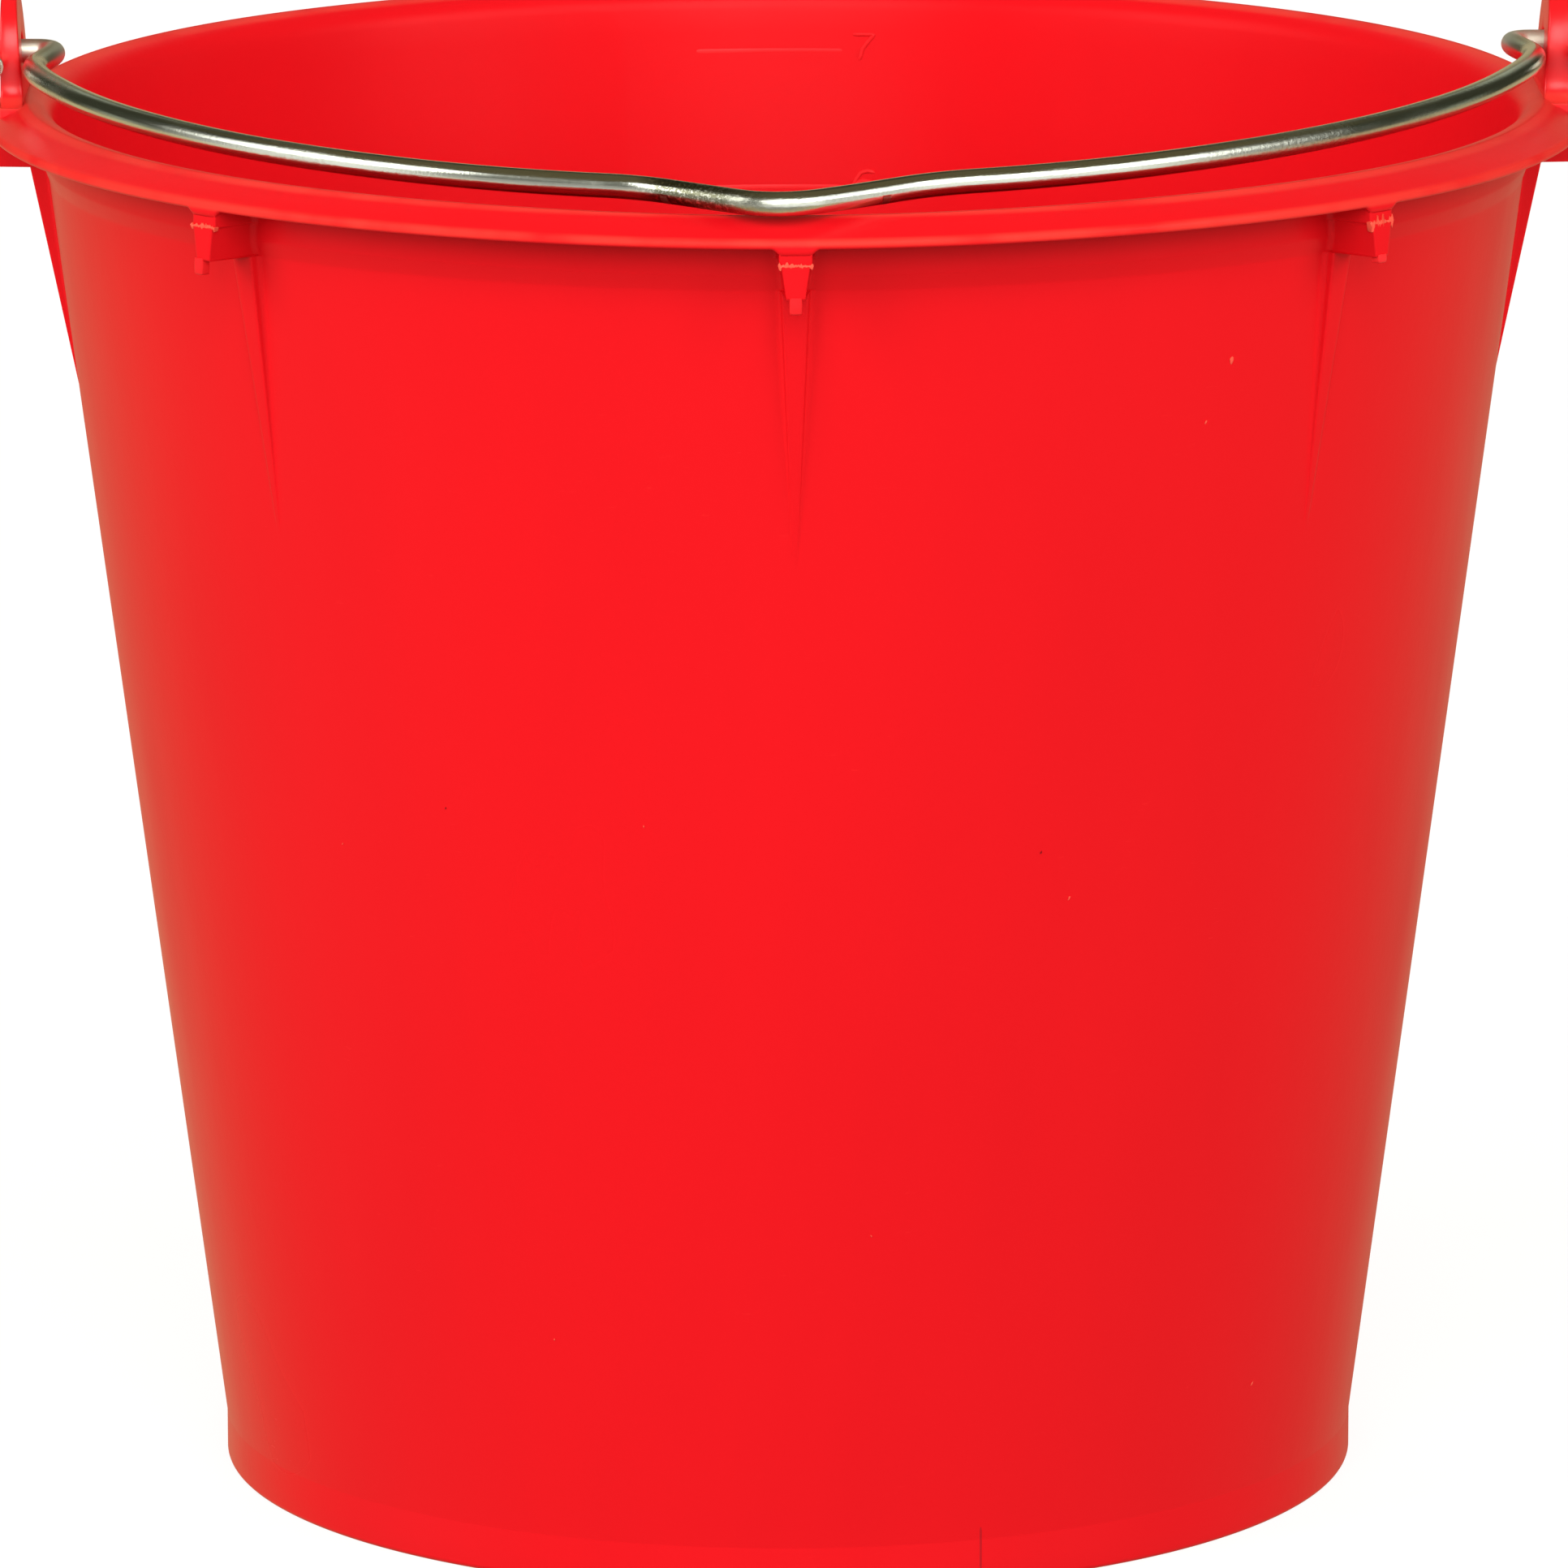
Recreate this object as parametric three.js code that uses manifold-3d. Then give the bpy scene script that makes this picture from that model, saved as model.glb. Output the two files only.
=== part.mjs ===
// Wash bucket: a one-piece moulded plastic tub of about eight litres with a steel wire bail.
// Millimetres, +Z up. The origin is the centre of the foot ring's underside.
// The two ears stand on the X axis, and the lowered bail lies towards -Y.
import * as THREE from "three";
import { mergeVertices } from "three/addons/utils/BufferGeometryUtils.js";
import Module from "manifold-3d";

// Tub: the tapered shell
const tubHeight = 227; // foot plane to the crest of the lip
const crestRadius = 123; // highest line of the lip
const footRadius = 93;
const footHeight = 7.5; // upright band below the tapered wall
const footEdgeRound = 1;
const footRingWidth = 2.6;
const floorRecess = 6; // underside of the floor above the foot plane
const floorThickness = 2.4;
const floorFillet = 4; // inside corner between floor and wall
const wallThickness = 2.3;
const wallSetback = 3.1; // crest to the wall's outer face, at the collar

// Tub: collar, lip and brim
const collarDepth = 10.7; // crest down to the collar's lower edge
const collarStep = 0.9; // how far the collar stands out from the wall
const collarSplay = 0.5; // the collar widens by this towards the brim
const lipFillet = 4.7; // round inside edge of the mouth
const crestFlat = 0.5; // narrow round-over at the crest
const brimWidth = 6.5; // crest to the outer edge
const brimDrop = 3.1; // the brim's top falls by this
const brimThickness = 1.5;
const brimEdgeRound = 0.5;

// Stacking ribs under the brim
const ribPlaces = 8; // equal places round the tub, two of which hold the ears
const ribWidth = 4.9;
const ribSetback = 0.3; // the head's outer face behind the brim's edge
const ribHeadDepth = 7.4; // crest down to the underside of the full-width head
const ribNeckTopWidth = 4;
const ribNeckBottomWidth = 2.4;
const ribNeckDepth = 13;
const ribNeckStand = 0.3; // the neck stands out of the head's face
const ribTabWidth = 1.9;
const ribTabDepth = 14.8;
const ribTabThickness = 1.7;
const ribTabStand = 0.3; // the tab stands out of the neck's face
const ribTabOverlap = 0.8; // the tab starts above the neck's end
const ribTailDepth = 57; // crest down to the point of the long low rib
const ribTailStand = 1.9;
const ribTailTopWidth = 4.2;
const ribTailPointWidth = 0.8;

// Ears: the two upright plates that carry the bail
const earSetback = 0.4; // crest to the ear's inner face
const earThickness = 3.2;
const earRadius = 10.4; // round top, concentric with the hole
const earFlareRadius = 3.6; // hollow round from each edge out to the ear's foot
const earFlareSink = 0.6; // crest down to where the flare meets the brim
const pivotRise = 7; // hole centre above the crest
const holeClearance = 0.7; // between the wire and the hole's wall

// Fin under each ear
const finThickness = 4;
const finLedgeDepth = 11.9; // crest down to the ledge that carries the brim
const finTailDepth = 50;
const finStand = 3; // how far the fin stands out of the wall under the ledge
const finEdgeSetback = 0.4; // ledge's end behind the brim's edge

// Bail: one bent steel wire
const wireDiameter = 3.8;
const bailInset = 7.3; // the front bow's centre line inside the crest
const bailSpread = 5.8; // the bow widens by this towards the ears
const notchHalfWidth = 23; // V-shaped thumb notch in the middle of the bow
const notchReach = 6; // the V's unrounded point beyond the crest
const notchPointRound = 7; // along each leg
const notchShoulderRound = 7;
const endBendRadius = 3;
const armReach = 20; // from the pivot line to where the bow starts
const armGap = 3.3; // between the ear and the arm, at the bend
const armEase = 6; // how gently the arm runs from the bend out to the bow
const hookGap = 0.4; // between the ear and the hook
const hookLength = 16; // from the pivot line to the cut end
const hookStraight = 11.5; // before the tip turns in
const hookTurnIn = 1.3;
const restGap = 0.25; // between the lowered bail and the crest

// How finely the round shapes are cut
const tubSides = 72;
const arcSteps = 4;
const earSteps = 12;
const wireSides = 12;
const bowSteps = 26;
const bendSteps = 7;
const softSteps = 5;
const straightSteps = 1;
const mergeDistance = 0.0001;
const overrun = 1; // how far a piece is sunk into the one that it joins

const wasm = await Module();
wasm.setup();

// A closed geometry as a solid that can be joined and cut.
function solidOf(geometry) {
  const bare = geometry.index ? geometry.toNonIndexed() : geometry.clone();
  bare.deleteAttribute("normal");
  bare.deleteAttribute("uv");
  const merged = mergeVertices(bare, mergeDistance);
  return new wasm.Manifold(
    new wasm.Mesh({
      numProp: 3,
      vertProperties: merged.attributes.position.array,
      triVerts: new Uint32Array(merged.index.array),
    }),
  );
}

// A solid as a geometry with flat facets.
function geometryOf(solid) {
  const { vertProperties, triVerts } = solid.getMesh();
  const geometry = new THREE.BufferGeometry();
  geometry.setAttribute("position", new THREE.BufferAttribute(vertProperties, 3));
  geometry.setIndex(new THREE.BufferAttribute(triVerts, 1));
  const faceted = geometry.toNonIndexed();
  faceted.computeVertexNormals();
  return faceted;
}

// Points of a quarter-like arc between two angles, in degrees.
function arcPoints(centreR, centreZ, radius, fromDegrees, toDegrees) {
  return Array.from({ length: arcSteps + 1 }, (_, i) => {
    const angle = THREE.MathUtils.degToRad(
      fromDegrees + ((toDegrees - fromDegrees) * i) / arcSteps,
    );
    return [centreR + radius * Math.cos(angle), centreZ + radius * Math.sin(angle)];
  });
}

// Places that several shapes share
const collarZ = tubHeight - collarDepth;
const wallTopRadius = crestRadius - wallSetback;
const wallSlope = (wallTopRadius - footRadius) / (collarZ - footHeight);
const wallRadiusAt = (z) => footRadius + wallSlope * (z - footHeight);
const brimRadius = crestRadius + brimWidth;
const brimEdgeZ = tubHeight - brimDrop - brimThickness;
const floorZ = floorRecess + floorThickness;
const pivotZ = tubHeight + pivotRise;
const wireRadius = wireDiameter / 2;

// The tub's shell, turned about Z: up the outside, over the lip and down the inside.
function shellSolid() {
  const innerRadiusAt = (z) => wallRadiusAt(z) - wallThickness;
  const collarRadius = wallTopRadius + collarStep;
  const underBrimZ = brimEdgeZ + (brimDrop * (brimRadius - collarRadius)) / brimWidth / 2;
  const lipBottomZ = tubHeight - lipFillet;
  const lipCentreR = innerRadiusAt(lipBottomZ) + lipFillet;
  const profile = [
    [0, floorRecess],
    [footRadius - footRingWidth, floorRecess],
    [footRadius - footRingWidth, 0],
    ...arcPoints(footRadius - footEdgeRound, footEdgeRound, footEdgeRound, -90, 0),
    [footRadius, footHeight],
    [wallTopRadius, collarZ],
    [collarRadius, collarZ],
    [collarRadius + collarSplay, underBrimZ],
    [brimRadius - brimEdgeRound, brimEdgeZ],
    [brimRadius, brimEdgeZ + brimEdgeRound],
    [brimRadius, tubHeight - brimDrop - brimEdgeRound],
    [brimRadius - brimEdgeRound, tubHeight - brimDrop],
    [crestRadius + crestFlat, tubHeight - (brimDrop * crestFlat) / brimWidth],
    [crestRadius, tubHeight],
    ...arcPoints(lipCentreR, lipBottomZ, lipFillet, 90, 180),
    ...arcPoints(
      innerRadiusAt(floorZ + floorFillet) - floorFillet,
      floorZ + floorFillet,
      floorFillet,
      0,
      -90,
    ),
    [0, floorZ],
  ].map(([r, z]) => new THREE.Vector2(r, z));
  const shell = new THREE.LatheGeometry(profile, tubSides);
  shell.rotateX(Math.PI / 2);
  return solidOf(shell);
}

// A closed outline of [a, b] pairs pushed out to a thickness, centred on its plane.
function slab(outline, thickness) {
  const shape = new THREE.Shape(outline.map(([a, b]) => new THREE.Vector2(a, b)));
  const geometry = new THREE.ExtrudeGeometry(shape, {
    depth: thickness,
    bevelEnabled: false,
  });
  return geometry.translate(0, 0, -thickness / 2);
}

// Turns a slab so that its outline lies in the plane of +X and +Z.
function acrossY(geometry) {
  return solidOf(geometry.rotateX(Math.PI / 2));
}

// Turns a slab so that its outline lies in the plane of +Y and +Z.
function acrossX(geometry) {
  return solidOf(geometry.rotateX(Math.PI / 2).rotateZ(Math.PI / 2));
}

// The part of a side view and a front view that both hold, for a rib on the +X side.
function ribPiece(sideView, frontView) {
  const side = acrossY(slab(sideView, 2 * ribWidth));
  const front = acrossX(slab(frontView, 2 * (brimRadius + overrun)));
  return side.intersect(front);
}

// One stacking rib on the +X side: a head and neck under the brim, and a long low tail.
function ribSolid() {
  const headR = brimRadius - ribSetback;
  const neckR = headR + ribNeckStand;
  const tabR = neckR + ribTabStand;
  const topZ = (brimEdgeZ + tubHeight - brimDrop) / 2;
  const headZ = tubHeight - ribHeadDepth;
  const neckZ = tubHeight - ribNeckDepth;
  const tabZ = tubHeight - ribTabDepth;
  const tabTopZ = neckZ + ribTabOverlap;
  const tailZ = tubHeight - ribTailDepth;
  const rootR = (z) => wallRadiusAt(z) - wallThickness / 2;
  const head = ribPiece(
    [
      [rootR(neckZ), topZ],
      [headR, topZ],
      [headR, headZ],
      [rootR(headZ), headZ],
    ],
    [
      [-ribWidth / 2, headZ],
      [ribWidth / 2, headZ],
      [ribWidth / 2, topZ],
      [-ribWidth / 2, topZ],
    ],
  );
  const neck = ribPiece(
    [
      [rootR(neckZ), neckZ],
      [neckR, neckZ],
      [neckR, headZ + overrun],
      [rootR(neckZ), headZ + overrun],
    ],
    [
      [-ribNeckBottomWidth / 2, neckZ],
      [ribNeckBottomWidth / 2, neckZ],
      [ribNeckTopWidth / 2, headZ + overrun],
      [-ribNeckTopWidth / 2, headZ + overrun],
    ],
  );
  const tab = ribPiece(
    [
      [tabR - ribTabThickness, tabZ],
      [tabR, tabZ],
      [tabR, tabTopZ],
      [tabR - ribTabThickness, tabTopZ],
    ],
    [
      [-ribTabWidth / 2, tabZ],
      [ribTabWidth / 2, tabZ],
      [ribTabWidth / 2, tabTopZ],
      [-ribTabWidth / 2, tabTopZ],
    ],
  );
  const tail = ribPiece(
    [
      [rootR(tailZ), tailZ],
      [wallRadiusAt(tailZ), tailZ],
      [wallRadiusAt(headZ) + ribTailStand, headZ],
      [rootR(headZ), headZ],
    ],
    [
      [-ribTailPointWidth / 2, tailZ],
      [ribTailPointWidth / 2, tailZ],
      [ribTailTopWidth / 2, headZ],
      [-ribTailTopWidth / 2, headZ],
    ],
  );
  return head.add(neck).add(tab).add(tail);
}

// One ear on the +X side, with the bail's hole and the fin that props the brim under it.
function earSolid() {
  const innerX = crestRadius + earSetback;
  const footReach = earRadius + earFlareRadius;
  const flareTopZ = tubHeight - earFlareSink + earFlareRadius;
  const outline = new THREE.Shape();
  outline.moveTo(-footReach, brimEdgeZ);
  outline.lineTo(footReach, brimEdgeZ);
  outline.absarc(footReach, flareTopZ, earFlareRadius, -Math.PI / 2, -Math.PI, true);
  outline.absarc(0, pivotZ, earRadius, 0, Math.PI);
  outline.absarc(-footReach, flareTopZ, earFlareRadius, 0, -Math.PI / 2, true);
  outline.closePath();
  const hole = new THREE.Path();
  hole.absarc(0, pivotZ, wireRadius + holeClearance, 0, 2 * Math.PI);
  outline.holes.push(hole);
  const plate = new THREE.ExtrudeGeometry(outline, {
    depth: earThickness,
    curveSegments: earSteps,
    bevelEnabled: false,
  });
  plate.rotateX(Math.PI / 2).rotateZ(Math.PI / 2).translate(innerX, 0, 0);
  const ledgeZ = tubHeight - finLedgeDepth;
  const tailZ = tubHeight - finTailDepth;
  const underBrimZ = (brimEdgeZ + tubHeight - brimDrop) / 2;
  const fin = acrossY(
    slab(
      [
        [wallRadiusAt(tailZ) - wallThickness / 2, tailZ],
        [wallRadiusAt(tailZ), tailZ],
        [wallRadiusAt(ledgeZ) + finStand, ledgeZ],
        [brimRadius - finEdgeSetback, ledgeZ],
        [brimRadius - finEdgeSetback, underBrimZ],
        [wallRadiusAt(ledgeZ) - wallThickness / 2, underBrimZ],
      ],
      finThickness,
    ),
  );
  return solidOf(plate).add(fin);
}

function tubMesh() {
  let tub = shellSolid();
  const rib = ribSolid();
  const ear = earSolid();
  for (let place = 0; place < ribPlaces; place++) {
    const underEar = place % (ribPlaces / 2) === 0;
    tub = tub.add((underEar ? ear : rib).rotate([0, 0, (360 * place) / ribPlaces]));
  }
  const material = new THREE.MeshStandardMaterial({
    color: 0xe5161c,
    roughness: 0.32,
    metalness: 0,
  });
  const mesh = new THREE.Mesh(geometryOf(tub), material);
  mesh.name = "tub";
  return mesh;
}

// A wire route of curves in the bail's own plane, each with its own count of steps.
// X runs to the right ear and Y away from the pivot line.
class WireRoute extends THREE.Curve {
  constructor(stretches) {
    super();
    this.stretches = stretches;
    this.steps = stretches.reduce((sum, stretch) => sum + stretch.steps, 0);
  }

  at(u) {
    let left = u * this.steps;
    for (const stretch of this.stretches) {
      if (left <= stretch.steps) return [stretch.curve, left / stretch.steps];
      left -= stretch.steps;
    }
    return [this.stretches.at(-1).curve, 1];
  }

  getPointAt(u, target = new THREE.Vector3()) {
    const [curve, t] = this.at(u);
    const { x, y } = curve.getPoint(t);
    return target.set(x, y, 0);
  }

  getTangentAt(u, target = new THREE.Vector3()) {
    const [curve, t] = this.at(u);
    const { x, y } = curve.getTangent(t);
    return target.set(x, y, 0);
  }
}

// The front bow, from one shoulder of the notch to an arm: a circle whose arms spread.
class BowCurve extends THREE.Curve {
  constructor(radius, fromAngle, toAngle) {
    super();
    Object.assign(this, { radius, fromAngle, toAngle });
  }

  getPoint(t, target = new THREE.Vector2()) {
    const angle = this.fromAngle + (this.toAngle - this.fromAngle) * t;
    const spread = angle < Math.PI / 3 ? Math.cos(1.5 * angle) ** 2 : 0;
    const reach = this.radius + bailSpread * spread;
    return target.set(reach * Math.cos(angle), reach * Math.sin(angle));
  }
}

// A soft corner between two points, each left along its own direction.
function softCorner(from, fromDirection, to, toDirection) {
  const gap = to.clone().sub(from);
  const along = gap.cross(toDirection) / fromDirection.cross(toDirection);
  const corner = from.clone().addScaledVector(fromDirection, along);
  return new THREE.QuadraticBezierCurve(from, corner, to);
}

// Half of the bail's route, from the notch's point to the tip of the right-hand hook.
function halfRoute() {
  const bowRadius = crestRadius - bailInset;
  const innerX = crestRadius + earSetback;
  const armX = innerX - armGap - wireRadius;
  const hookX = innerX + earThickness + hookGap + wireRadius;
  const vertex = new THREE.Vector2(0, crestRadius + notchReach);
  const shoulderAngle = Math.acos(notchHalfWidth / bowRadius);
  const shoulder = new THREE.Vector2(notchHalfWidth, bowRadius * Math.sin(shoulderAngle));
  const leg = shoulder.clone().sub(vertex).normalize();
  const pointCorner = vertex.clone().addScaledVector(leg, notchPointRound / 2);
  const point = new THREE.Vector2(0, pointCorner.y);
  const legStart = vertex.clone().addScaledVector(leg, notchPointRound);
  const legEnd = shoulder.clone().addScaledVector(leg, -notchShoulderRound);
  const bowStart = shoulderAngle - notchShoulderRound / bowRadius;
  const bowEnd = Math.asin(armReach / (bowRadius + bailSpread));
  const bow = new BowCurve(bowRadius, bowStart, bowEnd);
  const tipStart = new THREE.Vector2(hookX, hookStraight);
  const tipCorner = new THREE.Vector2(hookX, (hookStraight + hookLength) / 2);
  const tip = new THREE.Vector2(hookX - hookTurnIn, hookLength);
  const bends = (x, from, to) =>
    new THREE.EllipseCurve(
      x,
      endBendRadius,
      endBendRadius,
      endBendRadius,
      from,
      to,
      to < from,
    );
  return [
    {
      curve: new THREE.QuadraticBezierCurve(point, pointCorner, legStart),
      steps: softSteps,
    },
    { curve: new THREE.LineCurve(legStart, legEnd), steps: straightSteps },
    {
      curve: softCorner(legEnd, leg, bow.getPoint(0), bow.getTangent(0)),
      steps: softSteps,
    },
    { curve: bow, steps: bowSteps },
    {
      curve: new THREE.CubicBezierCurve(
        bow.getPoint(1),
        bow.getPoint(1).addScaledVector(bow.getTangent(1), armEase),
        new THREE.Vector2(armX, endBendRadius + armEase),
        new THREE.Vector2(armX, endBendRadius),
      ),
      steps: softSteps,
    },
    {
      curve: bends(armX + endBendRadius, Math.PI, 1.5 * Math.PI),
      steps: bendSteps,
    },
    {
      curve: new THREE.LineCurve(
        new THREE.Vector2(armX + endBendRadius, 0),
        new THREE.Vector2(hookX - endBendRadius, 0),
      ),
      steps: straightSteps,
    },
    {
      curve: bends(hookX - endBendRadius, -0.5 * Math.PI, 0),
      steps: bendSteps,
    },
    {
      curve: new THREE.LineCurve(new THREE.Vector2(hookX, endBendRadius), tipStart),
      steps: straightSteps,
    },
    { curve: new THREE.QuadraticBezierCurve(tipStart, tipCorner, tip), steps: softSteps },
  ];
}

function bailMesh() {
  const half = halfRoute();
  const mirrored = half.map(({ curve, steps }) => {
    const other = new THREE.Curve();
    other.getPoint = (t, target = new THREE.Vector2()) => {
      curve.getPoint(1 - t, target);
      return target.set(-target.x, target.y);
    };
    other.getTangent = (t, target = new THREE.Vector2()) => {
      curve.getTangent(1 - t, target);
      return target.set(target.x, -target.y);
    };
    return { curve: other, steps };
  });
  const route = new WireRoute([...mirrored.reverse(), ...half]);
  const section = new THREE.Shape(
    Array.from({ length: wireSides }, (_, i) => {
      const angle = (2 * Math.PI * i) / wireSides;
      return new THREE.Vector2(
        wireRadius * Math.cos(angle),
        wireRadius * Math.sin(angle),
      );
    }),
  );
  const wire = new THREE.ExtrudeGeometry(section, {
    steps: route.steps,
    extrudePath: route,
  });
  const material = new THREE.MeshStandardMaterial({
    color: 0xc7cabb,
    roughness: 0.22,
    metalness: 1,
  });
  const mesh = new THREE.Mesh(wire, material);
  mesh.name = "bail";
  return mesh;
}

// The lowered bail dips from the pivot line until its notch rests over the crest.
const bailDip = Math.asin((pivotRise - wireRadius - restGap) / crestRadius);
const bail = new THREE.Group();
bail.add(bailMesh());
bail.rotation.x = Math.PI + bailDip;
bail.position.z = pivotZ;

const bucket = new THREE.Group();
bucket.add(tubMesh(), bail);

export default bucket;
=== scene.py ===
"""A red moulded wash bucket with a bent steel wire bail, in metres, +Z up."""

import math
import random

import bmesh
import bpy
import numpy as np
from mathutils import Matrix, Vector


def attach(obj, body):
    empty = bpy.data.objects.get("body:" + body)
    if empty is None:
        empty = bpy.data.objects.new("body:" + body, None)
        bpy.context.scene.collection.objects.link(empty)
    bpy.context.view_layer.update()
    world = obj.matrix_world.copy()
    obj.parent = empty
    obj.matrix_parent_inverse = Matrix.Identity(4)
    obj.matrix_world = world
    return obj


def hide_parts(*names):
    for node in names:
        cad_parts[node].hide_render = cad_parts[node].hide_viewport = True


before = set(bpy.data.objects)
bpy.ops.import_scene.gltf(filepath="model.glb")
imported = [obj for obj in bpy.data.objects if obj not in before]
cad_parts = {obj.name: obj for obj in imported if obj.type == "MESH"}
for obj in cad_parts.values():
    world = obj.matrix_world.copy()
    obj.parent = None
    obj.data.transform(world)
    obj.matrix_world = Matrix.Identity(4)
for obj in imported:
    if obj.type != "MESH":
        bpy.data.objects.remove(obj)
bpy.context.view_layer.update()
MM = 0.001


# The tub's shell. The real one is a single thin moulding of red polypropylene: a tapered wall on a
# low upright foot, a collar, and a wide brim with a round inside lip. Here one rounded profile is
# turned about Z, and the six stacking ribs and the two fins swell out of the same skin.

TUB_HEIGHT = 227.0
CREST_RADIUS = 123.0
FOOT_RADIUS = 93.0
FOOT_HEIGHT = 7.5
FOOT_INNER_RADIUS = 90.4
FOOT_HOLLOW_Z = 6.0
WALL_TOP_RADIUS = 119.9
COLLAR_Z = 216.3
COLLAR_RADIUS = 120.8
WALL_THICKNESS = 2.3
BRIM_RADIUS = 129.5
BRIM_EDGE_Z = 222.4
BRIM_TOP_Z = 223.9
BRIM_ROOT_Z = 224.0
FLOOR_Z = 8.4
LIP_FILLET = 4.7
LONGEST_STEP, CLOSEST_RINGS = 4.0, 0.045
ARC_STEP = math.radians(13)
HAIR = 0.01  # a height or radius this close under another counts as on it
WALL_SLOPE = (WALL_TOP_RADIUS - FOOT_RADIUS) / (COLLAR_Z - FOOT_HEIGHT)


def wall_radius(z):
    return FOOT_RADIUS + WALL_SLOPE * (z - FOOT_HEIGHT)


def inner_radius(z):
    return wall_radius(z) - WALL_THICKNESS


def rounded_line(corners, longest):
    """Points along a line of (r, z, rounding) corners, no further apart than longest."""
    line = []
    for i, (r, z, rounding) in enumerate(corners):
        here = np.array([r, z], float)
        if rounding == 0:
            line.append(here)
            continue
        back = np.array(corners[i - 1][:2]) - here
        ahead = np.array(corners[i + 1][:2]) - here
        back /= np.linalg.norm(back)
        ahead /= np.linalg.norm(ahead)
        half = math.acos(np.clip(back @ ahead, -1, 1)) / 2
        middle = (back + ahead) / np.linalg.norm(back + ahead)
        centre = here + middle * rounding / math.sin(half)
        start, stop = (here + d * rounding / math.tan(half) - centre for d in (back, ahead))
        first = math.atan2(start[1], start[0])
        sweep = (math.atan2(stop[1], stop[0]) - first + math.pi) % (2 * math.pi) - math.pi
        steps = max(3, math.ceil(abs(sweep) / ARC_STEP))
        for k in range(steps + 1):
            angle = first + sweep * k / steps
            line.append(centre + rounding * np.array([math.cos(angle), math.sin(angle)]))
    points = [line[0]]
    for there in line[1:]:
        here = points[-1]
        parts = max(1, math.ceil(np.linalg.norm(there - here) / longest))
        points += [here + (there - here) * k / parts for k in range(1, parts + 1)]
    return np.array(points)


# A rib has a broad head under the brim, a narrower neck that widens upwards, and a thin tail that
# runs out down the wall. A fin has a ledge and a tail of one width. Each HALF is half a width, each
# WIDENS what it gains by the top, and each INSET how far the rounded edge of a step draws in.
RIB_HEAD_Z = 219.8
RIB_NECK_Z = 214.5
RIB_TAIL_Z = 170.0
RIB_HEAD_RADIUS = 129.2
RIB_NECK_RADIUS = 129.5
RIB_TAIL_STAND = 1.9
HEAD_HALF = 2.55
NECK_HALF, NECK_WIDENS = 1.45, 0.75
TAIL_HALF, TAIL_WIDENS = 0.4, 1.95
FIN_LEDGE_Z = 215.1
FIN_TAIL_Z = 177.0
FIN_RADIUS = 129.1
FIN_STAND = 3.0
FIN_HALF = 2.0
PLAIN_HALF = 2.2
STEP_ROUND = 0.3
HEAD_INSET, NECK_INSET, FIN_INSET = 0.25, 0.35, 0.3

# The profile's corners as (radius, height, rounding), up the outside and then down the inside.
outer_corners = [
    (0, FOOT_HOLLOW_Z, 0),
    (FOOT_INNER_RADIUS, FOOT_HOLLOW_Z, 1.2),
    (FOOT_INNER_RADIUS, 0, 0.5),
    (FOOT_RADIUS, 0, 1.0),
    (FOOT_RADIUS, FOOT_HEIGHT, 0.9),
    (WALL_TOP_RADIUS - 0.26, COLLAR_Z - 2.0, 3.0),
    (COLLAR_RADIUS - 0.2, COLLAR_Z + 0.6, 2.0),
    (COLLAR_RADIUS + 0.5, BRIM_ROOT_Z, 1.1),
    (BRIM_RADIUS, BRIM_EDGE_Z, 0.55),
]
inner_corners = [
    (BRIM_RADIUS, BRIM_TOP_Z, 1.2),
    (CREST_RADIUS + 0.15, TUB_HEIGHT, 1.6),
    (inner_radius(TUB_HEIGHT), TUB_HEIGHT, LIP_FILLET),
    (inner_radius(FLOOR_Z), FLOOR_Z, 4.0),
    (0, FLOOR_Z, 0),
]
whole_line = rounded_line(outer_corners + inner_corners, LONGEST_STEP)
top_edge = int(np.argmax(whole_line[:, 0] > BRIM_RADIUS - HAIR))
outer_line, inner_line = whole_line[: top_edge + 1], whole_line[top_edge + 1 :]
WALL_FROM_Z = FOOT_HEIGHT + 1.5
BRIM_FROM_RADIUS = COLLAR_RADIUS + 0.6
RINGS_UP_TO_Z = 223.0


def with_rings_at(line, heights):
    """The rising outer line with more points at these heights."""
    foot = int(np.argmax(line[:, 1] > WALL_FROM_Z))
    rising = line[foot:]
    under_brim = int(np.argmax(rising[:, 0] > BRIM_FROM_RADIUS))
    wall, rest = rising[:under_brim], rising[under_brim:]
    zs = np.array(sorted(set(np.round(np.concatenate([wall[:, 1], heights]), 4))))
    kept = [zs[0]]
    for z in zs[1:]:
        if z - kept[-1] > CLOSEST_RINGS:
            kept.append(z)
    order = np.argsort(wall[:, 1], kind="stable")
    radii = np.interp(kept, wall[order, 1], wall[order, 0])
    return np.vstack([line[:foot], np.column_stack([radii, kept]), rest])


def step_rings(z):
    """Heights of the rings that draw the small round on top of a step in a rib or fin."""
    return [z - 0.06, z, z + 0.05, z + 0.15, z + STEP_ROUND, z + 0.8]


ring_heights = []
for step in (RIB_HEAD_Z, RIB_NECK_Z, FIN_LEDGE_Z):
    ring_heights += step_rings(step)
ring_heights += list(np.arange(RIB_TAIL_Z - 2, RIB_NECK_Z - 0.5, 1.5))
ring_heights += list(np.arange(RIB_NECK_Z + 0.5, RINGS_UP_TO_Z, 0.6))
outer_line = with_rings_at(outer_line, ring_heights)


def rounded_step(z, step):
    """0 under a step, rising to 1 over the rounding above it."""
    share = np.clip((z - step) / STEP_ROUND, 0, 1)
    return 0.0 if z < step - HAIR else math.sqrt(1 - (1 - share) ** 2)


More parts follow.
